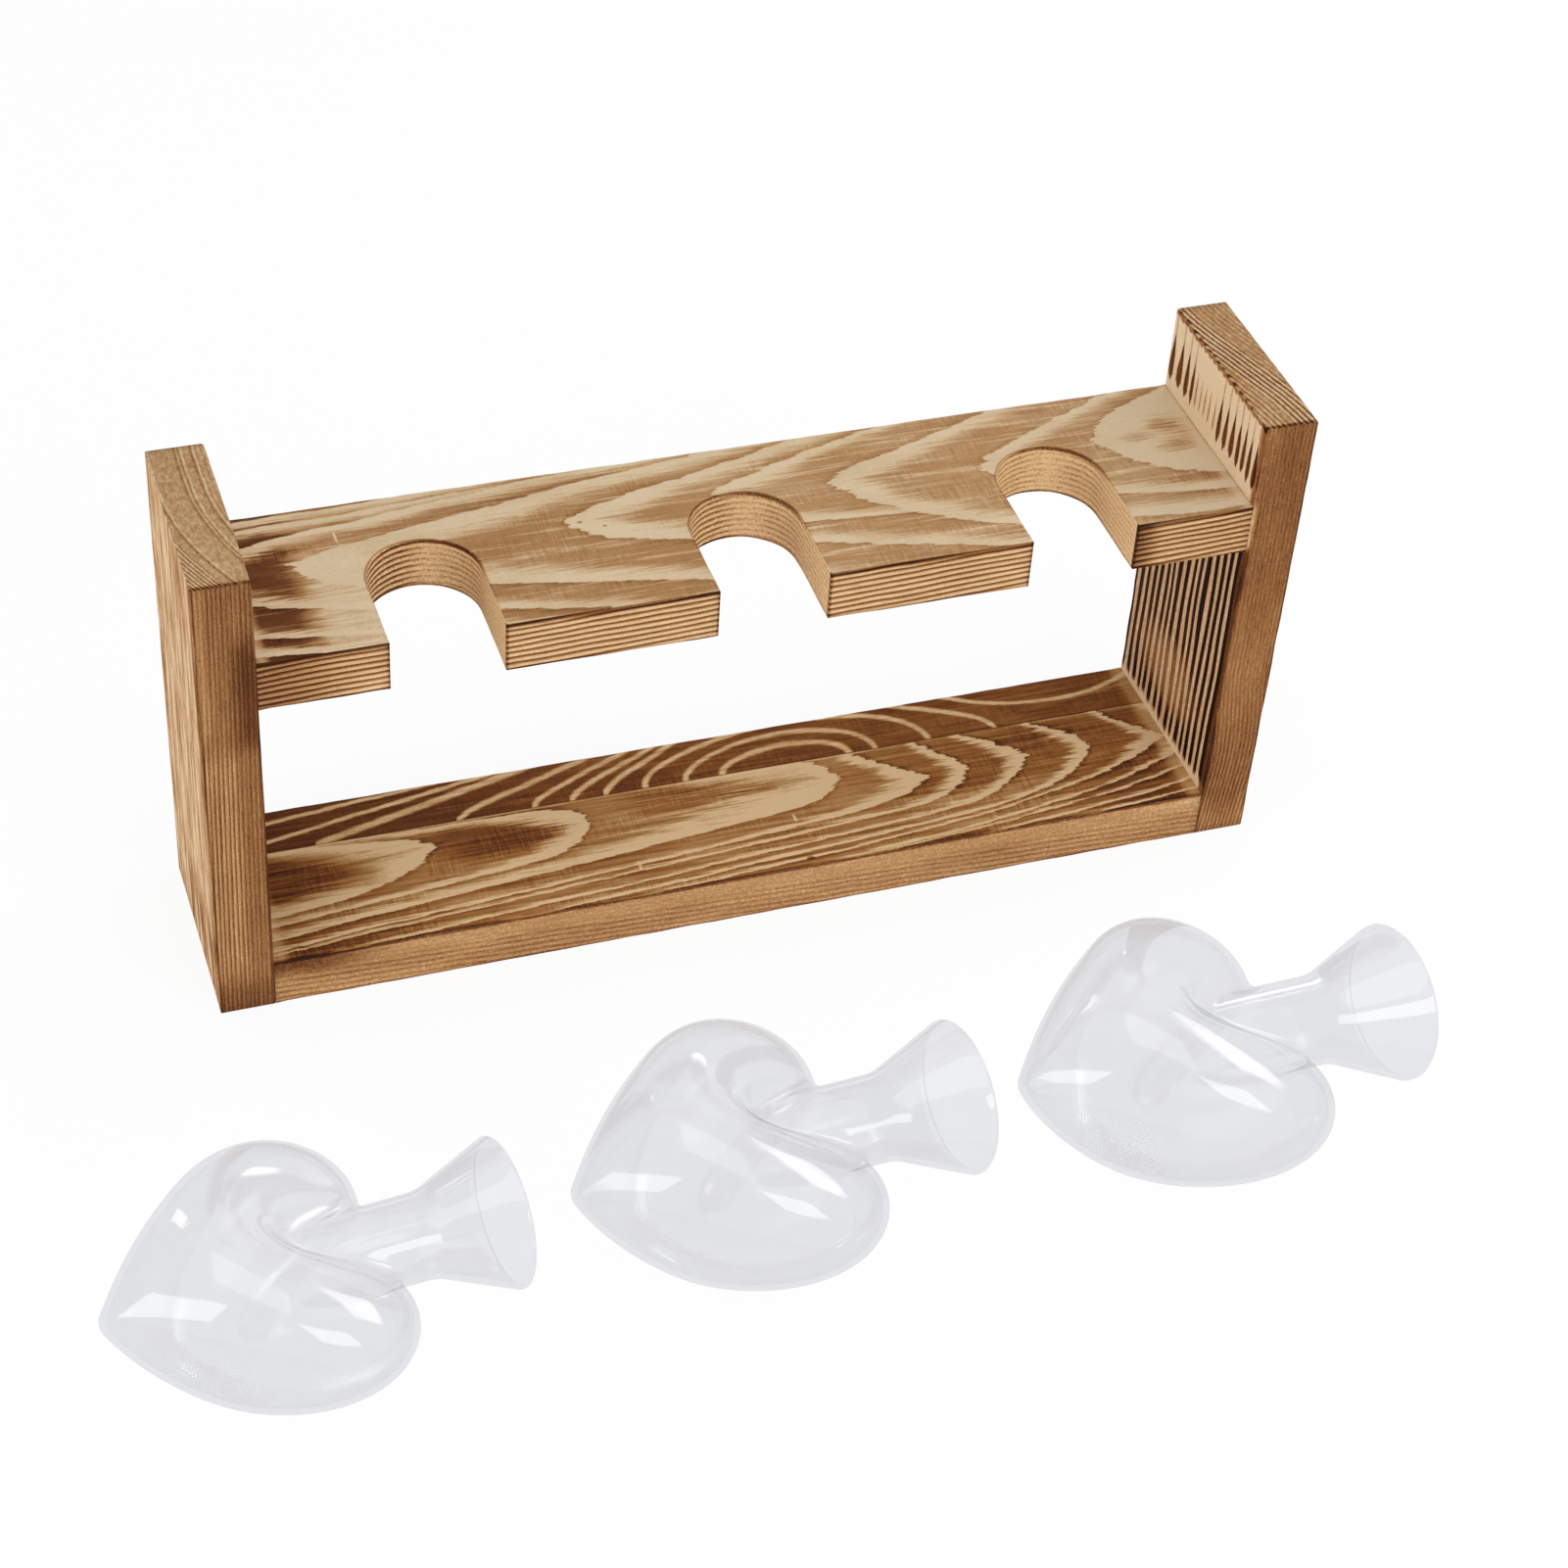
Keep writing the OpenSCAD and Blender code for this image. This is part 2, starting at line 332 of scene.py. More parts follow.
# Tone of growth rings cut along the grain: 0 is the pale wood just inside a ring's sharp edge,
# and 1 the brown before the next. A ring is its tip, its axis, how its upper and its lower side
# open (rise, run and slope), the width of its pale band and how far the pale tip reaches.
# pale is the share of a band that isn't shaded yet.
def ring_tone(x, y, rings, heading, streak, pale):
    tone = 1.0
    for tip, axis, upper, lower, band, reach in rings:
        ahead = (x - float(tip)) * float(heading)
        above = math_node("GREATER_THAN", y, float(axis))
        rise, run, slope = [math_node("MULTIPLY_ADD", above, float(u - v), float(v))
                            for u, v in zip(upper, lower)]
        inner = most(ahead, 0.0)
        opened = rise * (1.0 - math_node("EXPONENT", inner / run * -1.0)) + inner * slope
        depth = opened + least(ahead, 0.0) * 2.0 - size(y - float(axis))
        width = math_node("EXPONENT", inner * (-1.0 / reach)) * 22.0 + float(band)
        local = fade(depth + streak * width, width * pale, width * 1.25)
        inside = fade(depth, -0.1, 0.14, smooth=False)
        before = fade(depth, -2.6, -0.2) * 0.3 + tone
        tone = math_node("MULTIPLY_ADD", inside, local - before, before)
    return tone


# Ring lines on a board's narrow side: soft on one side of each line and sharp on the other
def edge_lines(position, pitch, wander):
    phase = fraction(position / pitch + wander + 40.0)
    return fade(phase, 0.3, 0.82) * fade(phase, 1.0, 0.93)


# Dull wood of a colour, with relief from a height
def finish_wood(shader, colour, height):
    plug(shader.inputs["Base Color"], colour)
    shader.inputs["Roughness"].default_value = 0.75
    shader.inputs["Specular IOR Level"].default_value = 0.04
    bump = new_node("ShaderNodeBump")
    bump.inputs["Strength"].default_value = 0.8
    bump.inputs["Distance"].default_value = 0.0004
    plug(bump.inputs["Height"], height)
    current["tree"].links.new(bump.outputs[0], shader.inputs["Normal"])


# Distance outside the nearest slot's outline
def slot_distance(x, y):
    near = None
    for number in SLOT_NUMBERS:
        across = size(x - number * SLOT_PITCH)
        along = most(y - SLOT_CENTRE_Y, 0.0)
        away = root(across * across + along * along) - SLOT_RADIUS
        near = away if near is None else least(near, away)
    return near


# Growth rings on the shelf's top, as ring_tone takes them
SHELF_RINGS = (
    (-280, 4, (20, 15, 0.03), (10, 15, 0.15), 4.0, 14),
    (-220, 4, (16.5, 15, 0.045), (10, 15, 0.17), 4.0, 14),
    (-160, 4, (11, 15, 0.12), (6, 15, 0.24), 4.4, 14),
    (-119, 7.5, (2, 5, 0.18), (10, 4, 0.22), 5.4, 34),
    (-46, 8, (2.4, 3, 0.27), (7, 4, 0.28), 5.6, 13),
    (-4, 11, (2, 3, 0.33), (17, 5, 0.08), 3.6, 8),
    (27, 8, (2.4, 3, 0.36), (37, 28, 0.0), 6.0, 12),
    (69, 5, (3, 3, 0.47), (22, 18, 0.06), 4.6, 10),
    (104, 8, (11, 6, 0.33), (24, 15, 0.0), 7.0, 90),
)


# Scorch on the top: a burnt left end, a spared patch beside it, spots at the right, pale wood
# along the joints, a dark rim round the slots and three small nicks
def shelf_top_tone(x, y, near, tone, teeth, grain):
    fibre, fine, saw, ripple, blotch, wisps = grain
    left = fade(x + teeth * 22.0 + fibre * 12.0, -112.0, -123.0) * fade(tone + fibre * 0.8, 0.25, 0.6)
    untouched = fade(x, -122.0, -114.0) * fade(x, -70.0, -96.0) * fade(y, 16.0, 8.0)
    right = fade(x, 92.0, 118.0)
    spots = spot_at(x, y, 126.0, 11.5, 5.5, 4.0) + spot_at(x, y, 117.0, 8.0, 6.0, 3.0) * 0.6
    spots = spots + spot_at(x, y, 126.0, 1.5, 8.0, 3.5) * 0.8
    lighter = fade(x, -50.0, 20.0) * fade(x, 130.0, 104.0) * 0.2
    strength = tone * (0.84 - right * 0.06 - lighter) * (1.0 - untouched * 0.8) + blotch * 0.5
    top = strength + left * 0.75 + spots * (0.45 + fibre) - wisps * tone * 0.42 + 0.04 - right * 0.06
    top = top + (fibre * 0.5 + saw * 0.5) * (tone * 0.8 + 0.08) + fine * 0.22
    joint = fade(size(x), SPAN - 4.5, SPAN - 1.5)
    top = top * (1.0 - joint * 0.7) + fade(size(x), SPAN - 0.7, SPAN - 0.3) * (0.35 + ripple * 0.3)
    rim = fade(near, 0.7, 0.1) * fade(y, -30.0, 6.0)
    nicks = spot_at(x, y, -42.0, 7.0, 1.0, 0.7) + spot_at(x, y, -36.0, 4.0, 0.8, 0.6)
    nicks = nicks - spot_at(x, y, -105.0, 16.0, 0.5, 3.0)
    return top + rim * 0.8 + nicks * 0.8


# Ring lines on the front edge, darker at the ends, the corners and the arrises
def shelf_front_tone(x, z, near, lines, fibre, fine, ripple, blotch):
    ends = fade(x, -104.0, -132.0) * 0.62 + fade(x, 110.0, 102.0) * fade(x, 90.0, 101.0) * 0.75
    ends = ends + fade(x, 100.0, 102.0) * 0.12
    arris = fade(z + ripple * 0.5, SHELF_TOP - 1.8, SHELF_TOP - 0.8)
    arris = arris + fade(z, SHELF_BOTTOM + 1.0, SHELF_BOTTOM + 0.3) * 0.5
    corner = fade(near, 0.9, 0.2) * 0.6
    edge = lines * 1.15 + 0.13 + ends + arris * 0.95 + corner + fine * 0.4 + fibre * 0.3
    return edge + blotch * 0.5


# The same lines inside a slot, boldest on the left of its round end
def slot_wall_tone(x, y, z, lines, fibre, fine):
    pores = cloud(x * 1.3, y * 1.8, z * 1.8, 3.0, 0.7, 31.0)
    curved = fade(y, SLOT_CENTRE_Y - 5.0, SLOT_CENTRE_Y + 2.0)
    across = x - math_node("ROUND", x / SLOT_PITCH) * SLOT_PITCH
    clearer = fade(x, -70.0, 80.0)
    bold = fade(across, 5.0, -4.0) * (1.15 - clearer * 0.8) + fade(across, 6.0, 12.0) * 0.25 + 0.12
    lift = fade(z, SHELF_TOP - 1.5, SHELF_TOP - 0.6) * fade(y, -14.0, 4.0) * fade(across, -13.0, 8.0)
    wall = lines * (0.3 + curved * (bold - 0.18)) + 0.06 - clearer * 0.08
    wall = wall + pores * 1.8 + fine * 0.5 + lift * 1.3
    foot = fade(z, SHELF_BOTTOM + 1.2, SHELF_BOTTOM + 0.4)
    return wall + foot * (0.4 + curved * 0.5) + fibre * 0.6


def shelf_pine():
    material, shader = begin("shelf_pine")
    x, y, z = place()
    fibre, fine, saw = grain_marks(x, y, z, 7.0)
    sway = cloud(x * 0.035, y * 0.08, z * 0.08, 2.0, 0.5, 3.0) * 3.0
    ripple = cloud(x * 0.2, y * 0.45, z * 0.4, 2.0, 0.6, 5.0) * 1.3
    teeth = cloud(x * 0.12, y * 0.9, z * 0.5, 3.0, 0.65, 11.0)
    blotch = cloud(x * 0.03, y * 0.12, z * 0.1, 2.0, 0.5, 29.0)
    wisps = fade(cloud(x * 0.025, y * 0.55, z * 0.6, 4.0, 0.7, 35.0), 0.01, 0.14)
    grain = (fibre, fine, saw, ripple, blotch, wisps)
    ring_y = y + sway + ripple + (SHELF_TOP - z) * 0.4
    tone = ring_tone(x + teeth * 9.0, ring_y, SHELF_RINGS, 1, fibre * 1.1, 0.3)
    near = slot_distance(x, y)
    lines = edge_lines(z - x * 0.035 + sway * 0.5, 1.78, fibre * 0.16)
    front = shelf_front_tone(x, z, near, lines, fibre, fine, ripple, blotch)
    front_colour = charred(front, EDGE_CHAR)
    wall_colour = charred(slot_wall_tone(x, y, z, lines, fibre, fine), EDGE_CHAR)
    top_colour = charred(shelf_top_tone(x, y, near, tone, teeth, grain), SHELF_CHAR)
    inside_slot = fade(near, 0.4, 0.1) * fade(y, -29.4, -28.9)
    colour = colour_mix(front_colour, wall_colour, inside_slot)
    colour = colour_mix(colour, top_colour, lying_flat())
    finish_wood(shader, colour, tone * -0.4 + fine * 0.8 + fibre * 0.6 + lines * -0.3)
    return material


# Growth rings on the top of the base's front strip
FRONT_RINGS = (
    (225, -2, (0.5, 14, 0.9), (23, 40, 0.05), 1.2, 8),
    (190, -2, (0.5, 14, 0.9), (23, 35, 0.05), 1.2, 8),
    (168, -2, (0.5, 14, 0.9), (22, 35, 0.05), 1.2, 8),
    (150, -2, (0.5, 14, 0.9), (22.5, 35, 0.05), 1.2, 8),
    (135, -3, (0.5, 14, 0.95), (19, 35, 0.05), 1.3, 7),
    (112, -2, (4.5, 1.5, 0.75), (16, 13, 0.07), 1.5, 6),
    (92, -1, (3, 2, 0.7), (15, 9, 0.07), 1.5, 7),
    (74, -1, (0.5, 14, 1.1), (12, 6, 0.07), 1.5, 6.5),
    (61, -2.5, (0.5, 14, 0.78), (8, 9, 0.08), 1.7, 11),
    (36, 4, (8, 4, 0.2), (9, 5, 0.1), 2.4, 44),
    (-38, 3.5, (7.5, 4, 0.03), (11, 6, 0.1), 2.4, 10),
    (-82, 4, (5, 5, 0.1), (15, 14, 0.05), 2.4, 24),
)


# Scorch on the front strip's top, strongest round x -64 and at the right, with a golden patch at
# the seam, nicks, and pale wood along the end boards
def front_strip_top_tone(x, y, tone, streaks, blotch, fibre, fine, saw):
    rear_part = fade(y, -14.0, -8.0)
    burn = 0.86 + spot_at(x, y, -64.0, 4.0, 30.0, 11.0) * 0.55
    burn = burn + fade(x, 30.0, 70.0) * rear_part * 0.36 + fade(x, -30.0, 10.0) * 0.05
    burn = burn + fade(x, 88.0, 126.0) * (1.0 - rear_part) * 0.5
    burn = burn + fade(x, -80.0, -120.0) * fade(y, -16.0, -24.0) * 0.4
    top = tone * burn - 0.1 - fade(x, -60.0, 0.0) * 0.13 + blotch * 0.5 + streaks * 1.3 * (tone + 0.15)
    patch = fade(x + fibre * 16.0 + y * 0.9, -96.0, -114.0) * fade(y + fibre * 5.0, -10.0, -5.0)
    top = top + patch * (0.6 + streaks) * fade(y, 13.5, 8.0)
    golden = fade(x, -38.0, -14.0) * fade(x, 34.0, 24.0) * fade(y + fibre * 4.0, 0.0, 5.0)
    top = top + golden * (0.3 + streaks * 1.1) * fade(y, 13.0, 10.0)
    nicks = spot_at(x, y, 18.0, -10.0, 0.6, 2.2) + spot_at(x, y, -30.0, -18.0, 0.6, 2.6)
    top = top - nicks * 0.8 + spot_at(x, y, 17.0, -27.0, 1.6, 1.0) * 0.9
    top = top + (fibre * 0.6 + saw * 0.55) * (tone * 0.8 + 0.12) + fine * 0.24
    margin = fade(size(x), SPAN - 6.0, SPAN - 2.0)
    seam_line = fade(y, 11.9, 12.5) * fade(blotch + fibre, -0.3, 0.1)
    top = top * (1.0 - margin * 0.65) * (1.0 - seam_line * 0.75)
    return top + fade(y, 12.7, 12.95) * 0.9 + fade(y, -29.0, -29.7) * 0.7


# Plain front edge, with a dark corner at its left end and a dark arris
def front_strip_edge_tone(x, y, z, sway, ripple, blotch, fibre, fine):
    lines = edge_lines(z + x * 0.045 + sway, 1.9, fibre * 0.5) * fade(z, 11.0, 7.0)
    corner = fade(x, -98.0, -128.0) * fade(z, 7.0, 13.0)
    arris = fade(z + ripple, 13.7, 14.5)
    edge = lines * 0.4 + 0.56 + corner * 0.8 + arris * 0.8 + fine * 0.5 + fibre * 0.5
    return edge + blotch * 0.6 + fade(z, 1.0, 0.3) * 0.5 + cloud(x, y, z * 1.2, 3.0, 0.8, 59.0) * 1.4


def front_strip_pine():
    material, shader = begin("base_front_pine")
    x, y, z = place()
    fibre, fine, saw = grain_marks(x, y, z, 47.0)
    sway = cloud(x * 0.03, y * 0.07, z * 0.07, 2.0, 0.5, 43.0) * 1.8
    ripple = cloud(x * 0.22, y * 0.4, z * 0.4, 4.0, 0.7, 45.0) * 1.5
    teeth = cloud(x * 0.12, y * 0.8, z * 0.5, 3.0, 0.65, 51.0)
    blotch = cloud(x * 0.03, y * 0.12, z * 0.1, 2.0, 0.5, 61.0)
    streaks = cloud(x * 0.025, y * 0.8, z * 0.8, 3.0, 0.6, 57.0)
    ring_y = y + sway + ripple + (BOARD - z) * 0.3
    tone = ring_tone(x + teeth * 8.0, ring_y, FRONT_RINGS, -1, fibre * 1.7, 0.16)
    top = front_strip_top_tone(x, y, tone, streaks, blotch, fibre, fine, saw)
    edge = front_strip_edge_tone(x, y, z, sway, ripple, blotch, fibre, fine)
    colour = colour_mix(charred(edge, EDGE_CHAR), charred(top, BASE_CHAR), lying_flat())
    finish_wood(shader, colour, tone * -0.5 + fine * 0.8 + fibre * 0.6)
    return material


# Pale lines that rise from the seam: foot, rise, run and slope of the left side, then the same
# of the right side, and half the line's width
REAR_LINES = (
    ((-31, 2.8, 2, 0.57), (88, 5.5, 3, 0.43), 0.85),
    ((-41, 2.6, 2, 0.5), (400, 9, 8, 0.25), 0.8),
    ((-52, 2.6, 2, 0.46), (400, 9, 8, 0.25), 0.8),
    ((-74, 2.2, 3, 0.35), (400, 9, 8, 0.25), 0.85),
    ((-114, 0.2, 3, 0.265), (400, 9, 8, 0.25), 1.15),
    ((-150, 0.2, 3, 0.19), (400, 9, 8, 0.25), 0.7),
    ((-236, 0.2, 3, 0.108), (400, 9, 8, 0.25), 0.65),
)


# Pale ovals that stand on the seam: left foot, right foot, height, lean and half width
REAR_OVALS = ((4, 42.5, 8.2, 0.12, 0.95), (-7, 50.5, 13.3, 0.14, 0.8), (-19, 67, 17.7, 0.16, 0.85))


# Distance from an oval whose middle is on the seam
def oval(x, y, left, right, height, lean):
    reach = (right - left) / 2
    across = (x - (left + right) / 2) / reach
    up = y / ((across * lean + 1.0) * height)
    away = root(across * across + up * up)
    steep = root(power(across / reach, 2.0) + power(up / height, 2.0))
    return size(away - 1.0) * away / steep


# How high a side of a line has risen, and how steep it is there
def climb(ahead, rise, run, slope):
    inner = most(ahead, 0.0)
    left_over = math_node("EXPONENT", inner / float(run) * -1.0) * float(rise)
    height = float(rise) - left_over + inner * float(slope) + least(ahead, 0.0) * 4.0
    return height, left_over / float(run) + float(slope)


# Pale lines, ovals and a shallow valley on the rear strip's top: 1 on a line, 0 beside it
def rear_strip_lines(x, height, fibre):
    line = 0.0
    for left, right, half in REAR_LINES:
        left_height, left_steep = climb(x - float(left[0]), *left[1:])
        right_height, right_steep = climb(float(right[0]) - x, *right[1:])
        steep = most(left_steep, right_steep)
        top_of_line = math_node("SMOOTH_MIN", left_height, right_height, 3.0)
        away = size(height - top_of_line) / root(steep * steep + 1.0)
        line = most(line, fade(away + fibre * 0.5, half * 1.75, half * 0.5))
    for left, right, top_height, lean, half in REAR_OVALS:
        away = oval(x, height, left, right, top_height, lean)
        line = most(line, fade(away + fibre * 0.5, half * 1.75, half * 0.5))
    dip = x - 109.0
    valley = size(height - 8.0 - dip * dip * 0.009) / (size(dip) * 0.018 + 1.0)
    line = most(line, fade(valley, 1.0, 0.35) * fade(x, 68.0, 74.0))
    second = fade(size(height - 5.0 - (x - 96.0) * 0.13), 1.0, 0.3) * fade(x, 96.0, 120.0) * 0.35
    return most(line, second)


def rear_strip_pine():
    material, shader = begin("base_rear_pine")
    x, y, z = place()
    fibre, fine, saw = grain_marks(x, y, z, 67.0)
    sway = cloud(x * 0.04, y * 0.08, z * 0.08, 2.0, 0.5, 63.0) * 1.6
    ripple = cloud(x * 0.25, y * 0.4, z * 0.4, 2.0, 0.6, 65.0) * 0.9
    blotch = cloud(x * 0.03, y * 0.12, z * 0.1, 2.0, 0.5, 61.0)
    streaks = cloud(x * 0.03, y * 0.9, z * 0.8, 3.0, 0.6, 57.0)
    line = rear_strip_lines(x, y - BASE_SEAM_Y + ripple + sway + (BOARD - z) * 0.3, fibre)
    top = 1.24 + fade(x, -20.0, -110.0) * 0.24 + blotch * 0.6 + fibre * 0.6 + saw * 0.3 + fine * 0.3
    top = top + streaks * 0.9
    top = blend(top, 0.02 + fibre * 0.5 + fine * 0.3 + streaks, line * (0.92 + blotch * 0.4))
    margin = fade(x, SPAN - 6.0, SPAN - 2.0)
    top = top * (1.0 - margin * 0.55) + fade(y, 13.3, 13.05) * 0.8
    lines = edge_lines(z + x * 0.02 + sway, 1.8, fibre * 0.5)
    edge = lines * 0.7 + 0.5 + fine * 0.5 + fibre * 0.5 + blotch * 0.6 + fade(z, 13.7, 14.5) * 0.7
    colour = colour_mix(charred(edge, EDGE_CHAR), charred(top, BASE_CHAR), lying_flat())
    finish_wood(shader, colour, line * 0.5 + fine * 0.8 + fibre * 0.6)
    return material


# Raised line, drawn with painted shade on one side and a painted highlight on the other
def painted_ridge(value, middle):
    shaded = fade(size(value - middle + 0.35), 0.6, 0.05)
    lit = fade(size(value - middle - 0.35), 0.55, 0.05)
    return shaded * 0.5 - lit * 0.4


# Raised lines side by side, each with painted shade and a painted highlight
def painted_ridge_rows(value, pitch):
    return painted_ridge((fraction(value / pitch + 90.0) - 0.5) * pitch, 0.0)


# Fine upright lines on the narrow front, golden in the middle and smoky near the shelf
def left_front_tone(x, z, bend):
    uneven = cloud(x * 0.45, 0.0, z * 0.006, 2.0, 0.6, 103.0)
    phase = fraction((x - z * 0.02 + bend * 0.9 + uneven * 0.9) / 1.17 + 200.0)
    lines = fade(phase, 0.2, 0.8) * fade(phase, 1.0, 0.88)
    golden = fade(z, 94.0, 84.0) * fade(z, 6.0, 20.0) * fade(x + bend * 2.0, -139.5, -142.5)
    smoky = fade(x, -143.0, -138.5) * fade(z, 84.0, 96.0) * fade(z, 130.0, 118.0)
    tone = 0.93 - golden * 0.42 + lines * (0.34 + golden * 0.4) + smoky * 0.46 + uneven * 0.6
    return tone + fade(z, 14.0, 4.0) * 0.2 - fade(x, -146.0, -148.5) * fade(z, 88.0, 98.0) * 0.25


# Fine upright lines and short strokes, burnt along the inner corner
def right_front_tone(x, z, bend):
    low = fade(z, 60.0, 20.0)
    phase = fraction((x - z * low * 0.1 + bend * 1.2) / 1.25 + 60.0)
    lines = fade(phase, 0.2, 0.8) * fade(phase, 1.0, 0.88)
    strokes = cloud(x * 2.4, 0.0, z * 0.3, 3.0, 0.7, 113.0)
    tone = 0.86 + lines * (0.2 + low * 0.26) + strokes * 0.8 + fade(z, 50.0, 100.0) * 0.1
    burnt = fade(z, 45.0, 38.0) * fade(z, 10.0, 20.0) + fade(z, 82.0, 90.0) * fade(z, 105.0, 100.0)
    tone = tone + fade(x, 137.4, 135.2) * burnt * 0.5 - fade(z, 16.0, 3.0) * 0.25
    return tone - fade(x, 136.6, 135.5) * fade(z, 101.0, 104.0) * fade(z, 120.0, 115.0) * 0.7


# Upright waves on the outer face, browner at its front, its back and its foot
def end_outer_tone(y, z, wavy, blotch):
    tone = 0.32 + wavy * 3.5 + fade(y, -24.5, -28.5) * (0.4 + fade(z, 84.0, 98.0) * 0.2)
    return tone + fade(y, 22.0, 29.0) * (0.2 + blotch) + fade(z, 40.0, 4.0) * (wavy * 2.0 + 0.15)


# Short dark marks above the shelf, and how near the middle of a mark a place is
def marks_above_shelf(u, z, taper, sway):
    crowd = fade(size(u - 14.0), 14.0, 0.0) * 0.75 - fade(size(u - 34.0), 12.0, 0.0) * 0.26
    near_mark = size(fraction((u - 2.0) / 3.67 - crowd + sway * 0.4 + 0.5) - 0.5)
    weak = fade(u, 16.5, 19.0) * fade(u, 33.0, 30.5)
    hump = fade(z + taper * 0.3, 119.6, 123.6) * fade(z + taper * 0.7, 137.5, 126.0)
    mark = fade(near_mark - hump * 0.3 + weak * 0.13, 0.1, -0.12) * fade(hump, 0.0, 0.35)
    trail = fade(near_mark + weak * 0.2, 0.2, 0.02) * fade(z + taper, 128.0, 133.0) * 0.5
    above = mark * (1.5 - weak * 0.8) + trail - fade(near_mark, 0.34, 0.46) * hump * 0.12
    above = above * fade(z, 117.5, 119.5) + fade(z + near_mark * 2.0, 140.8, 141.8) * 0.9
    return above, near_mark


# Long dark stripes below the shelf
def stripes_below_shelf(y, z, taper, wobble):
    stripe = fraction((y + wobble) / 3.8 + 40.6)
    stripe_gap = fade(stripe, 0.0, 0.14) * fade(stripe, 0.64, 0.5)
    core = fade(size(stripe - 0.32), 0.1, 0.02) * 0.25
    below = fade(z + taper * 0.4, 16.0, 20.0) * fade(z, 104.0, 100.0)
    darkness = 1.62 + fade(y, -8.0, -16.0) * 0.3 + fade(z, 46.0, 76.0) * 0.2 + fade(z, 28.0, 22.0) * 0.35
    darkness = darkness - spot_at(y, z, 0.0, 36.0, 26.0, 15.0) * 0.9
    return stripe_gap * below * (darkness - core) + below * 0.38


# Inner face: the marks, the stripes and a dark front corner
def end_inner_tone(y, z, bend, fibre, seed):
    taper = fibre * 9.0 + bend * 10.0
    sway = cloud(0.0, y * 0.12, z * 0.02, 1.0, 0.5, seed + 44.0)
    above, near_mark = marks_above_shelf(HALF_DEPTH - y, z, taper, sway)
    below = stripes_below_shelf(y, z, taper, bend * 3.0 + sway * 3.0)
    return above + below - 0.13 + fade(y, -26.5, -28.5) * 1.1, near_mark


# Growth rings on the sawn ends, drawn as ridges with painted shade and painted highlights
def left_top_tone(x, y, bend):
    ahead = most(14.0 - y, 0.0)
    across = x + HALF_LENGTH - ahead * ahead * 0.0062 + bend * 0.8
    tone = painted_ridge_rows(across, 1.08) * fade(across, -2.4, -3.4)
    for middle in (0.0, 7.3, 8.3, 11.6):
        tone = tone + painted_ridge(across, middle) * 0.9
    return tone + painted_ridge_rows(across, 1.5) * fade(across, 9.0, 13.0) * 0.3


# The same, slanting across, strongest in a band from the left rear to the right front
def right_top_tone(x, y, bend):
    across = x - 136.0 - fade(y, 36.0, -34.0) * 12.0 + (y - 25.0) * 0.06 + bend * 0.8
    strong = fade(across, -8.4, -6.0) * fade(across, 3.4, 1.0)
    weak = fade(across, -8.0, -9.5) * 0.65 + fade(across, 3.0, 4.5) * 0.3
    return painted_ridge_rows(across, 1.6) * (strong * 1.4 + weak * 1.2 + 0.12) + 0.09


def end_board_pine(left):
    material, shader = begin("left_end_pine" if left else "right_end_pine")
    x, y, z = place()
    nx = facing()[0]
    side = fade(size(nx), 0.5, 0.8)
    inner = fade(nx if left else nx * -1.0, 0.4, 0.7)
    seed = 71.0 if left else 101.0
    fibre, fine, saw = grain_marks(z, x, y, seed)
    bend = cloud(x * 0.04, y * 0.06, z * 0.014, 2.0, 0.5, seed + 20.0)
    blotch = cloud(x * 0.12, y * 0.12, z * 0.03, 2.0, 0.5, seed + 24.0)
    wavy = cloud(x * 0.1, y * 0.34, z * 0.035, 5.0, 0.68, seed + 40.0) * (0.95 if left else 0.62)
    mottle = cloud(x * 1.0, y * 0.45, z, 4.0, 0.85, seed + 28.0)
    rough = fine * 0.5 + fibre * 0.5
    front = (left_front_tone if left else right_front_tone)(x, z, bend) + rough + blotch * 0.5
    rims = fade(size(x), HALF_LENGTH - 1.0, HALF_LENGTH - 0.2)
    rims = rims + fade(size(x), SPAN + 1.0, SPAN + 0.2) * fade(z, 100.0, 90.0)
    front_colour = charred(front + rims * 0.5, EDGE_CHAR)
    if not left:
        front_colour = colour_mix(front_colour, charred(front + rims * 0.5, END_CHAR), 0.5)
    outer = end_outer_tone(y, z, wavy, blotch) + rough * 0.7 + saw * 0.15
    inside, near_mark = end_inner_tone(y, z, bend, fibre, seed)
    inside_colour = charred(inside + rough, END_CHAR)
    end = (left_top_tone if left else right_top_tone)(x, y, bend) + 0.6 + mottle * 2.4
    end = end + blotch * 0.5 + fine * 0.3 + fade(y, -28.2, -29.2) * 0.9
    if not left:
        end = end + fade(x, 136.5, 135.2) * fade(y, -22.0, -14.0) * fade(near_mark, 0.34, 0.12) * 1.2
    sides_colour = colour_mix(charred(outer, END_CHAR), inside_colour, inner)
    colour = colour_mix(front_colour, sides_colour, side)
    colour = colour_mix(colour, charred(end, SHELF_CHAR), lying_flat())
    finish_wood(shader, colour, fine * 0.8 + fibre * 0.6 - inside * 0.3)
    return material


def dowel_beech():
    material, shader = begin("dowel_beech")
    x, y, z = place()
    grain = cloud(x * 0.15, y * 2.5, z * 2.5, detail=3.0, seed=5.0)
    flecks = fade(cloud(x * 0.5, y * 3.5, z * 3.5, seed=9.0), 0.12, 0.2)
    colour = colour_mix(srgb(226, 197, 156), srgb(206, 172, 128), fade(grain, -0.2, 0.2))
    colour = colour_mix(colour, srgb(176, 132, 88), flecks * 0.5)
    finish_wood(shader, colour, grain)
    return material
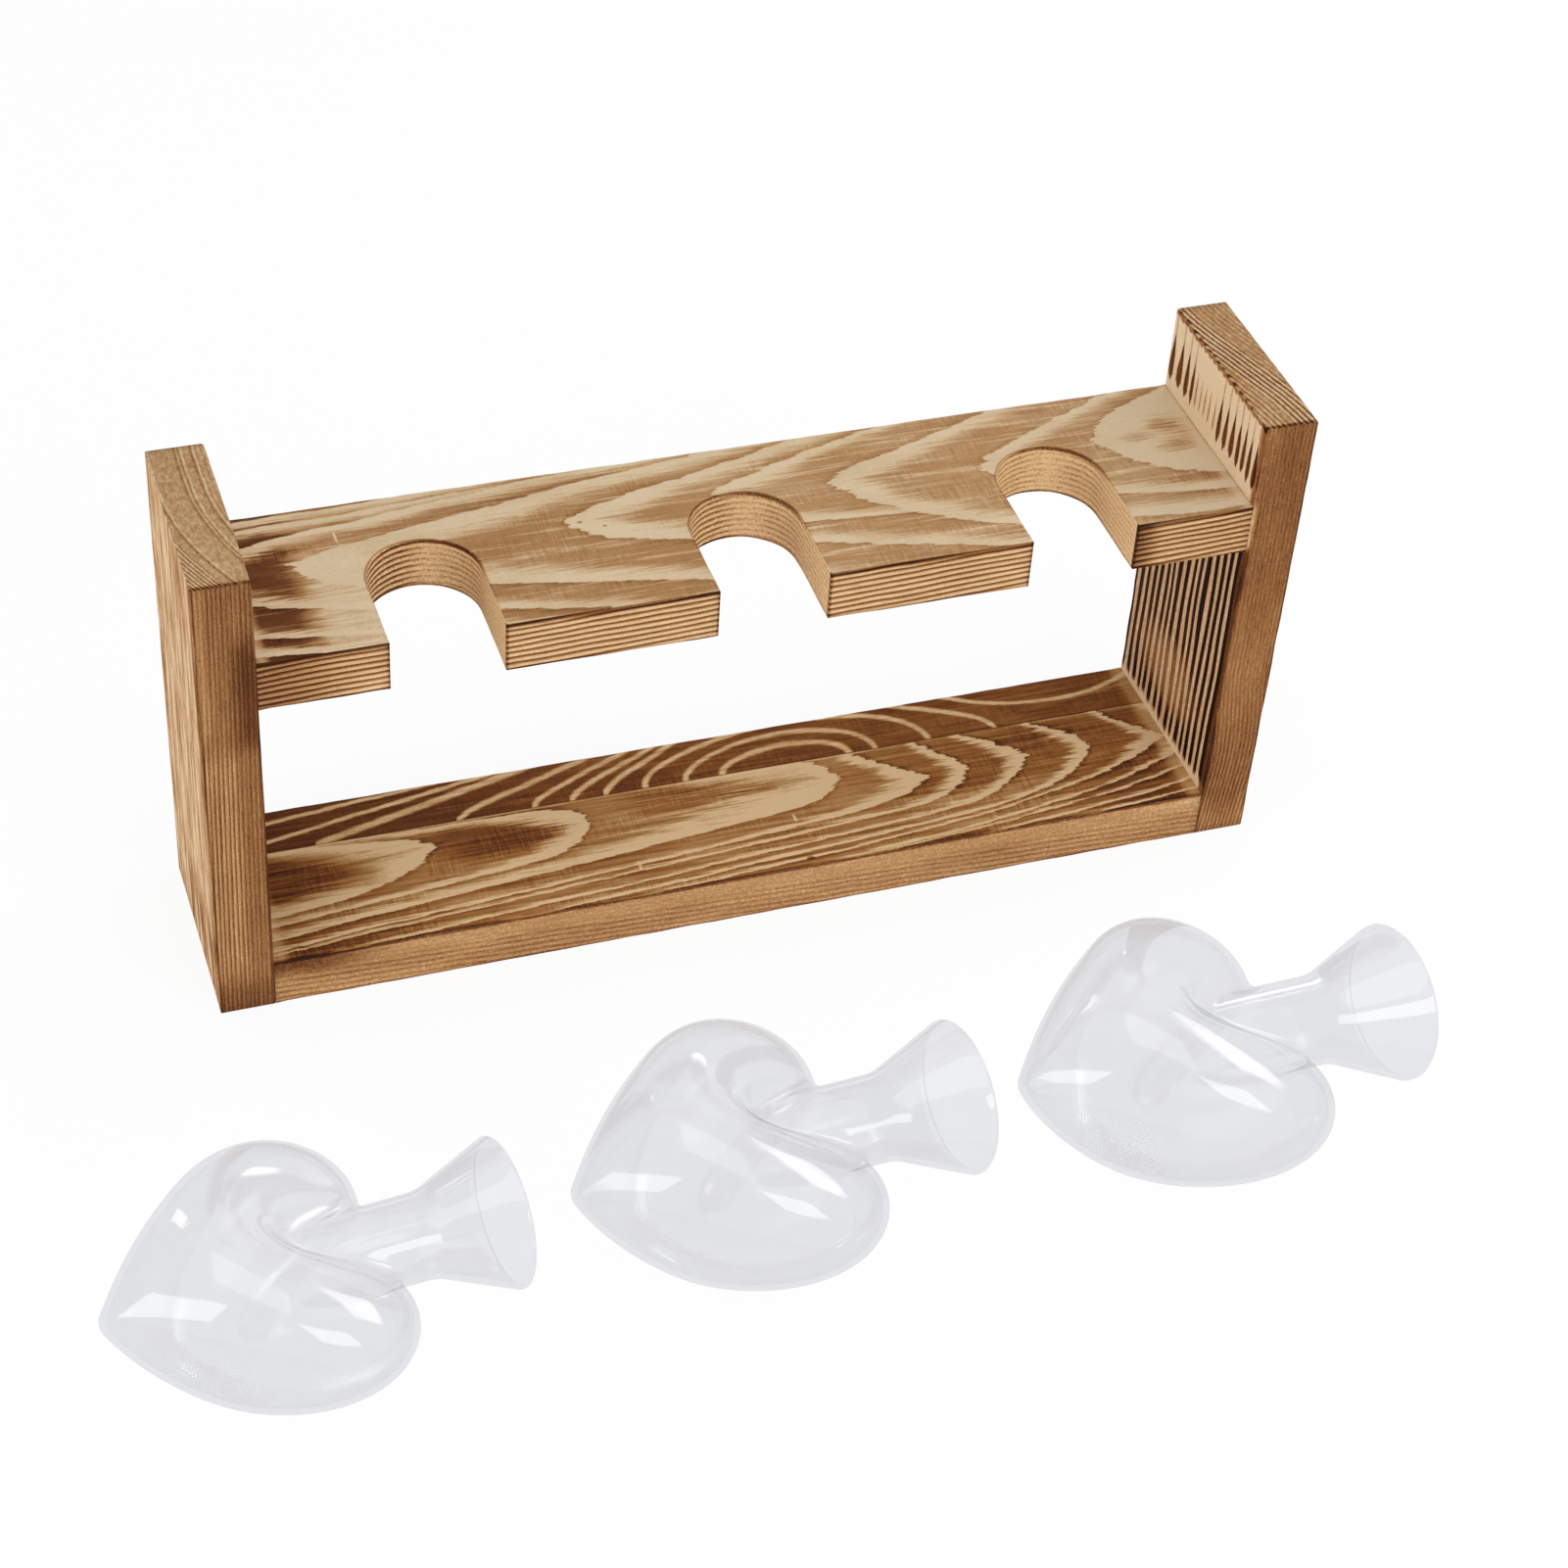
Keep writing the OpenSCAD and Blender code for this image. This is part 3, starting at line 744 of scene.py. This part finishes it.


# Thin blown glass: seen nearly straight through, and mirroring more where it turns away. It is tinted on
# the side that light enters, and outline is painted shade: a darker tint where it turns away most, in
# place of the dark edges that bent light gives.
def blown_glass(name, tint, outline, mirror, rim_mirror):
    material, shader = begin(name)
    tree = material.node_tree
    shader.inputs["Base Color"].default_value = (0.95, 0.95, 0.96, 1.0)
    shader.inputs["Roughness"].default_value = 0.0
    shader.inputs["IOR"].default_value = 1.5
    shader.inputs["Transmission Weight"].default_value = 1.0
    turn = new_node("ShaderNodeLayerWeight")
    turn.inputs["Blend"].default_value = 0.5
    aside = Wire(turn.outputs["Facing"])
    leaving = Wire(new_node("ShaderNodeNewGeometry").outputs["Backfacing"])
    straight_through = new_node("ShaderNodeBsdfTransparent")
    shade = colour_mix(tint + (1.0,), (0.985, 0.985, 0.985, 1.0), leaving)
    # Painted shade: the tint turns to the outline colour where the glass turns away from view
    plug(straight_through.inputs["Color"], colour_mix(shade, outline + (1.0,), power(aside, 14.0)))
    body = shader_mix(straight_through, shader, 0.05)
    gloss = new_node("ShaderNodeBsdfGlossy")
    gloss.inputs["Roughness"].default_value = 0.03
    mirrored = (power(aside, 3.0) * rim_mirror + mirror) * (1.0 - leaving * 0.7)
    surface = shader_mix(body, gloss, mirrored)
    ray = new_node("ShaderNodeLightPath")
    clear = new_node("ShaderNodeBsdfTransparent")
    clear.inputs["Color"].default_value = (0.97, 0.97, 0.975, 1.0)
    mix = shader_mix(surface, clear, Wire(ray.outputs["Is Shadow Ray"]))
    tree.links.new(mix.outputs[0], tree.nodes["Material Output"].inputs["Surface"])
    return material


def add_mesh(name, points, faces, material):
    mesh = bpy.data.meshes.new(name)
    mesh.from_pydata(points, [], faces)
    mesh.validate()
    mesh.update()
    thing = bpy.data.objects.new(name, mesh)
    bpy.context.scene.collection.objects.link(thing)
    mesh.materials.append(material)
    for face in mesh.polygons:
        face.use_smooth = True
    return thing


# Outline points of a straight side, without its last point
def straight(start, stop, step=3.0):
    start = Vector(start)
    stop = Vector(stop)
    count = max(1, round((stop - start).length / step))
    return [start.lerp(stop, i / count) for i in range(count)]


# Points of an arc, without its last point
def arc(centre, radius, start, stop, steps):
    return [Vector((centre[0] + radius * math.cos(start + (stop - start) * i / steps),
                    centre[1] + radius * math.sin(start + (stop - start) * i / steps)))
            for i in range(steps)]


def rectangle(x0, y0, x1, y1):
    corners = [(x0, y0), (x1, y0), (x1, y1), (x0, y1)]
    return [point for i in range(4) for point in straight(corners[i], corners[(i + 1) % 4])]


def slotted_outline():
    points = []
    start = (-SPAN, -HALF_DEPTH)
    for number in SLOT_NUMBERS:
        middle = number * SLOT_PITCH
        left = middle - SLOT_RADIUS
        right = middle + SLOT_RADIUS
        points += straight(start, (left, -HALF_DEPTH))
        points += straight((left, -HALF_DEPTH), (left, SLOT_CENTRE_Y))
        points += arc((middle, SLOT_CENTRE_Y), SLOT_RADIUS, math.pi, 0, SLOT_STEPS)
        points += straight((right, SLOT_CENTRE_Y), (right, -HALF_DEPTH))
        start = (right, -HALF_DEPTH)
    points += straight(start, (SPAN, -HALF_DEPTH))
    points += straight((SPAN, -HALF_DEPTH), (SPAN, HALF_DEPTH))
    points += straight((SPAN, HALF_DEPTH), (-SPAN, HALF_DEPTH))
    points += straight((-SPAN, HALF_DEPTH), (-SPAN, -HALF_DEPTH))
    return points


# Outward direction at each point of an outline, longer at a corner so that both sides move alike
def outward(outline):
    normals = []
    for i, point in enumerate(outline):
        before = (point - outline[i - 1]).normalized()
        after = (outline[(i + 1) % len(outline)] - point).normalized()
        across = (before + after).normalized()
        miter = 1 / max(0.5, across.dot(after))
        normals.append(Vector((across.y, -across.x)) * miter)
    return normals


# How worn an edge is at a point, as a share of its rounding
def wear(point, level):
    return min(1.4, max(0.5, 0.75 + 0.9 * noise.noise(Vector((point.x * 0.11, point.y * 0.11, level)))))


# Outlines one above the other, from the lower rounded edge to the upper one
def board_rings(outline, low, high, ease, to_rack):
    normals = outward(outline)
    rings = []
    for upper in (False, True):
        for angle in (EASE_ANGLES if upper else reversed(EASE_ANGLES)):
            a = math.radians(angle)
            ring = []
            for point, normal in zip(outline, normals):
                radius = ease(point) * wear(point, 5.0 * upper + high)
                flat = point - normal * radius * (1 - math.cos(a))
                drop = radius * (1 - math.sin(a))
                height = high - drop if upper else low + drop
                ring.append(Vector(to_rack(flat.x, flat.y, height)) * MM)
            rings.append(ring)
    return rings


# Board between two heights with worn, rounded edges. ease gives an edge's radius at a point,
# and to_rack turns outline and height into a place in the rack.
def board(name, node, outline, low, high, ease, to_rack, material):
    count = len(outline)
    rings = board_rings(outline, low, high, ease, to_rack)
    points = [point for ring in rings for point in ring]
    faces = []
    for r in range(len(rings) - 1):
        for i in range(count):
            j = (i + 1) % count
            faces.append((r * count + i, r * count + j, (r + 1) * count + j, (r + 1) * count + i))
    top = (len(rings) - 1) * count
    faces.append(tuple(reversed(range(count))))
    faces.append(tuple(top + i for i in range(count)))
    thing = add_mesh(name, points, faces, material)
    grid = bmesh.new()
    grid.from_mesh(thing.data)
    bmesh.ops.triangulate(grid, faces=[f for f in grid.faces if len(f.verts) > 4])
    bmesh.ops.recalc_face_normals(grid, faces=grid.faces)
    grid.to_mesh(thing.data)
    grid.free()
    keep_flat = thing.modifiers.new("flat_faces", "WEIGHTED_NORMAL")
    keep_flat.weight = 100
    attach(thing, "rack")
    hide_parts(node)


# Rounding at a point of an outline, nearly none where the board is glued to another
def shelf_ease(point):
    return GLUED_EASE if abs(point.x) > SPAN - 0.1 else EDGE_EASE


def front_strip_ease(point):
    return GLUED_EASE if point.y > BASE_SEAM_Y - 0.1 else shelf_ease(point)


def rear_strip_ease(point):
    return GLUED_EASE if point.y < BASE_SEAM_Y + 0.1 else shelf_ease(point)


def end_board_ease(point):
    return END_BOARD_EASE


# Place in the rack of a board that lies flat, and of one that stands on its end
def flat_lay(u, v, height):
    return (u, v, height)


def upright_lay(u, v, height):
    return (height, u, v)


def build_rack():
    board("slotted_shelf_board", "slotted_shelf", slotted_outline(),
          SHELF_BOTTOM, SHELF_TOP, shelf_ease, flat_lay, shelf_pine())
    front = rectangle(-SPAN, -HALF_DEPTH, SPAN, BASE_SEAM_Y)
    board("base_front_board", "base_front_strip", front,
          0, BOARD, front_strip_ease, flat_lay, front_strip_pine())
    rear = rectangle(-SPAN, BASE_SEAM_Y, SPAN, HALF_DEPTH)
    board("base_rear_board", "base_rear_strip", rear,
          0, BOARD, rear_strip_ease, flat_lay, rear_strip_pine())
    upright = rectangle(-HALF_DEPTH, 0, HALF_DEPTH, RACK_HEIGHT)
    for side, start in (("left", -HALF_LENGTH), ("right", SPAN)):
        board(side + "_end_plank", side + "_end_board", upright,
              start, start + BOARD, end_board_ease, upright_lay, end_board_pine(side == "left"))
    beech = dowel_beech()
    for name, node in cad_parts.items():
        if "dowel" in name:
            node.data.materials.clear()
            node.data.materials.append(beech)


def direction(a, b):
    return math.atan2(b[1] - a[1], b[0] - a[0])


# Meridian of the CAD source from the tip to the rim, a depth below the outer surface
def meridian(reach, bulge_radius, bulge_height, side_radius, fillet_radius, depth):
    steps = MERIDIAN_STEPS
    slope_end = (RIM_MIDDLE[0] + RIM_RADIUS * math.cos(FLARE_ANGLE),
                 RIM_MIDDLE[1] - RIM_RADIUS * math.sin(FLARE_ANGLE))
    slope_run = slope_end[0] - NECK_RADIUS - FLARE_RADIUS * (1 - math.cos(FLARE_ANGLE))
    slope_length = slope_run / math.sin(FLARE_ANGLE)
    flare_bottom = (slope_end[1] - FLARE_RADIUS * math.sin(FLARE_ANGLE)
                    - slope_length * math.cos(FLARE_ANGLE))
    tip = Vector((0, TIP_RADIUS))
    bulge = Vector((reach - bulge_radius, bulge_height))
    gap = (bulge - tip).length
    to_tip = side_radius - TIP_RADIUS
    to_bulge = side_radius - bulge_radius
    along = (to_tip ** 2 - to_bulge ** 2 + gap ** 2) / (2 * gap)
    across = math.sqrt(to_tip ** 2 - along ** 2)
    unit = (bulge - tip) / gap
    side = tip + along * unit + across * Vector((-unit.y, unit.x))
    fillet_x = NECK_RADIUS + fillet_radius
    rise = math.sqrt((bulge_radius + fillet_radius) ** 2 - (fillet_x - bulge.x) ** 2)
    fillet = Vector((fillet_x, bulge_height + rise))
    flare = Vector((NECK_RADIUS + FLARE_RADIUS, flare_bottom))
    flare_end = math.pi - FLARE_ANGLE
    slope_start = flare + (FLARE_RADIUS + depth) * Vector((math.cos(flare_end), math.sin(flare_end)))
    slope = slope_length * Vector((math.sin(FLARE_ANGLE), math.cos(FLARE_ANGLE)))
    points = arc(tip, TIP_RADIUS - depth, -math.pi / 2, direction(side, tip), steps[0])
    points += arc(side, side_radius - depth, direction(side, tip), direction(side, bulge), steps[1])
    points += arc(bulge, bulge_radius - depth, direction(side, bulge), direction(bulge, fillet), steps[2])
    points += arc(fillet, fillet_radius + depth, direction(fillet, bulge), -math.pi, steps[3])
    for i in range(steps[4]):
        points.append(Vector((NECK_RADIUS - depth, fillet.y + (flare_bottom - fillet.y) * i / steps[4])))
    points += arc(flare, FLARE_RADIUS + depth, math.pi, flare_end, steps[5])
    points += [slope_start + slope * i / steps[6] for i in range(steps[6] + 1)]
    return points


# Heart vase as one closed skin from the outer tip over the rim to the inner tip
def vase_skin():
    around = VASE_AROUND
    front = (VASE_WIDTH / 2, LOBE_RADIUS, LOBE_HEIGHT, FLANK_RADIUS, CLEFT_RADIUS)
    side = (VASE_THICKNESS / 2, BELLY_RADIUS, BELLY_HEIGHT, CHIN_RADIUS, SHOULDER_RADIUS)
    rim = arc(RIM_MIDDLE, RIM_RADIUS, -FLARE_ANGLE, math.pi - FLARE_ANGLE, RIM_STEPS)[1:]
    lines = []
    for shape in (front, side):
        outer = meridian(*shape, 0)
        inner = meridian(*shape, GLASS_WALL)
        lines.append(outer + rim + inner[::-1])
    last = len(lines[0]) - 1
    points = [Vector((0, 0, 0))]
    for i in range(1, last):
        f = lines[0][i]
        s = lines[1][i]
        for k in range(around):
            c = math.cos(2 * math.pi * k / around)
            d = math.sin(2 * math.pi * k / around)
            points.append(Vector((c * f.x, d * s.x, c * c * f.y + d * d * s.y)))
    points.append(Vector((0, 0, GLASS_WALL)))

    def at(ring, k):
        return 1 + ring * around + k % around

    faces = [(0, at(0, k + 1), at(0, k)) for k in range(around)]
    for ring in range(last - 2):
        for k in range(around):
            faces.append((at(ring, k), at(ring, k + 1), at(ring + 1, k + 1), at(ring + 1, k)))
    faces += [(len(points) - 1, at(last - 2, k), at(last - 2, k + 1)) for k in range(around)]
    outer_count = around * (len(meridian(*front, 0)) + len(rim))
    return points, faces, outer_count


# Where a vase lies on the surface, touching it with its belly and its rim
def lying(x, front, turn, share):
    belly = Vector((BELLY_HEIGHT, BELLY_RADIUS - VASE_THICKNESS / 2))
    to_belly = belly - Vector((RIM_MIDDLE[1], -RIM_MIDDLE[0]))
    turned = math.asin((BELLY_RADIUS - RIM_RADIUS) / to_belly.length)
    pitch = math.pi - math.atan2(to_belly.y, to_belly.x) - turned
    height = BELLY_RADIUS - belly.x * math.sin(pitch) - belly.y * math.cos(pitch)
    middle = BELLY_HEIGHT + BELLY_RADIUS
    return (Matrix.Translation((x, -HALF_DEPTH - front, 0))
            @ Matrix.Rotation(math.radians(turn), 4, "Z")
            @ Matrix.Scale(share * SKIN_SHARE, 4)
            @ Matrix.Translation((-middle * math.cos(pitch), 0, height))
            @ Matrix.Rotation(math.pi / 2 - pitch, 4, "Y")
            @ Matrix.Rotation(math.pi / 2, 4, "Z"))


def build_vases():
    # The outline colours are painted edge shade on the glass
    outside = blown_glass("clear_glass", tint=(0.805, 0.815, 0.85), outline=(0.84, 0.83, 0.81),
                          mirror=0.045, rim_mirror=0.32)
    inside = blown_glass("clear_glass_inside", tint=(0.99, 0.99, 0.99), outline=(0.975, 0.975, 0.975),
                         mirror=0.015, rim_mirror=0.1)
    points, faces, outer_count = vase_skin()
    for name, x, front, turn, share in VASES:
        move = Matrix.Scale(MM, 4) @ lying(x, front, turn, share)
        thing = add_mesh(name + "_glass", [move @ p for p in points], faces, outside)
        thing.data.materials.append(inside)
        for face in thing.data.polygons:
            face.material_index = 1 if face.index >= outer_count else 0
        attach(thing, name)
        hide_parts(name)


# 1 for what is seen directly, in gloss or through glass, and 0 for light that falls on things
def seen_directly():
    ray = new_node("ShaderNodeLightPath")
    seen = most(Wire(ray.outputs["Is Camera Ray"]), Wire(ray.outputs["Is Glossy Ray"]))
    return most(seen, Wire(ray.outputs["Is Transmission Ray"]))


# Shader that is one where share is 0 and the other where it is 1
def shader_mix(one, other, share):
    mix = new_node("ShaderNodeMixShader")
    plug(mix.inputs[0], share)
    current["tree"].links.new(one.outputs[0], mix.inputs[1])
    current["tree"].links.new(other.outputs[0], mix.inputs[2])
    return mix


# White light of a strength, for the floor or the world
def white_light(kind, strength):
    light = new_node(kind)
    light.inputs["Color"].default_value = WHITE
    light.inputs["Strength"].default_value = strength
    return light


# Floor that looks nearly white to the camera and through glass, and keeps a soft shadow
def build_floor():
    material, shader = begin("pale_floor")
    tree = material.node_tree
    shader.inputs["Base Color"].default_value = (0.97, 0.97, 0.97, 1.0)
    shader.inputs["Roughness"].default_value = 1.0
    shader.inputs["Specular IOR Level"].default_value = 0.0
    white = white_light("ShaderNodeEmission", 1.0)
    mix = shader_mix(shader, white, seen_directly() * FLOOR_WHITENESS)
    tree.links.new(mix.outputs[0], tree.nodes["Material Output"].inputs["Surface"])
    corners = [(x * FLOOR_REACH, y * FLOOR_REACH, 0) for x, y in ((-1, -1), (1, -1), (1, 1), (-1, 1))]
    floor = add_mesh("floor", corners, [(0, 1, 2, 3)], material)


# Even white room that looks white behind the object
def build_world():
    world = bpy.data.worlds.new("studio")
    world.use_nodes = True
    bpy.context.scene.world = world
    tree = world.node_tree
    tree.nodes.clear()
    current["tree"] = tree
    room = white_light("ShaderNodeBackground", ROOM_LIGHT)
    white = white_light("ShaderNodeBackground", 1.0)
    mix = shader_mix(room, white, seen_directly())
    out = new_node("ShaderNodeOutputWorld")
    tree.links.new(mix.outputs[0], out.inputs["Surface"])


# Softbox that faces the lamps' target, from a compass direction and a height angle
def softbox(name, azimuth, elevation, distance, width, height, brightness):
    lamp = bpy.data.lights.new(name, "AREA")
    lamp.shape = "RECTANGLE"
    lamp.size = width
    lamp.size_y = height
    lamp.energy = brightness * math.pi * width * height
    thing = bpy.data.objects.new(name, lamp)
    bpy.context.scene.collection.objects.link(thing)
    a = math.radians(azimuth)
    e = math.radians(elevation)
    away = Vector((math.sin(a) * math.cos(e), math.cos(a) * math.cos(e), math.sin(e)))
    thing.location = Vector(LAMP_TARGET) + away * distance
    thing.rotation_mode = "QUATERNION"
    thing.rotation_quaternion = away.to_track_quat("Z", "Y")
    thing.visible_camera = False


def build_lamps():
    for box in SOFTBOXES:
        softbox(*box)


def build_camera():
    azimuth = math.radians(CAMERA_AZIMUTH)
    elevation = math.radians(CAMERA_ELEVATION)
    roll = math.radians(CAMERA_ROLL)
    ahead = Vector((math.sin(azimuth) * math.cos(elevation), math.cos(azimuth) * math.cos(elevation),
                    -math.sin(elevation)))
    right = ahead.cross(Vector((0, 0, 1))).normalized()
    up = right.cross(ahead)
    right_rolled = right * math.cos(roll) + up * math.sin(roll)
    up_rolled = up * math.cos(roll) - right * math.sin(roll)
    data = bpy.data.cameras.new("photo_camera")
    data.sensor_fit = "HORIZONTAL"
    data.sensor_width = SENSOR_WIDTH
    data.lens = CAMERA_LENS
    data.clip_start = 0.01
    data.clip_end = 50
    camera = bpy.data.objects.new("photo_camera", data)
    bpy.context.scene.collection.objects.link(camera)
    turn = Matrix((right_rolled, up_rolled, -ahead)).transposed().to_4x4()
    camera.matrix_world = Matrix.Translation(CAMERA_PLACE) @ turn
    bpy.context.scene.camera = camera


def build_scene():
    bpy.context.scene.view_settings.view_transform = "Standard"
    build_camera()
    build_world()
    build_floor()
    build_lamps()
    build_rack()
    build_vases()


build_scene()
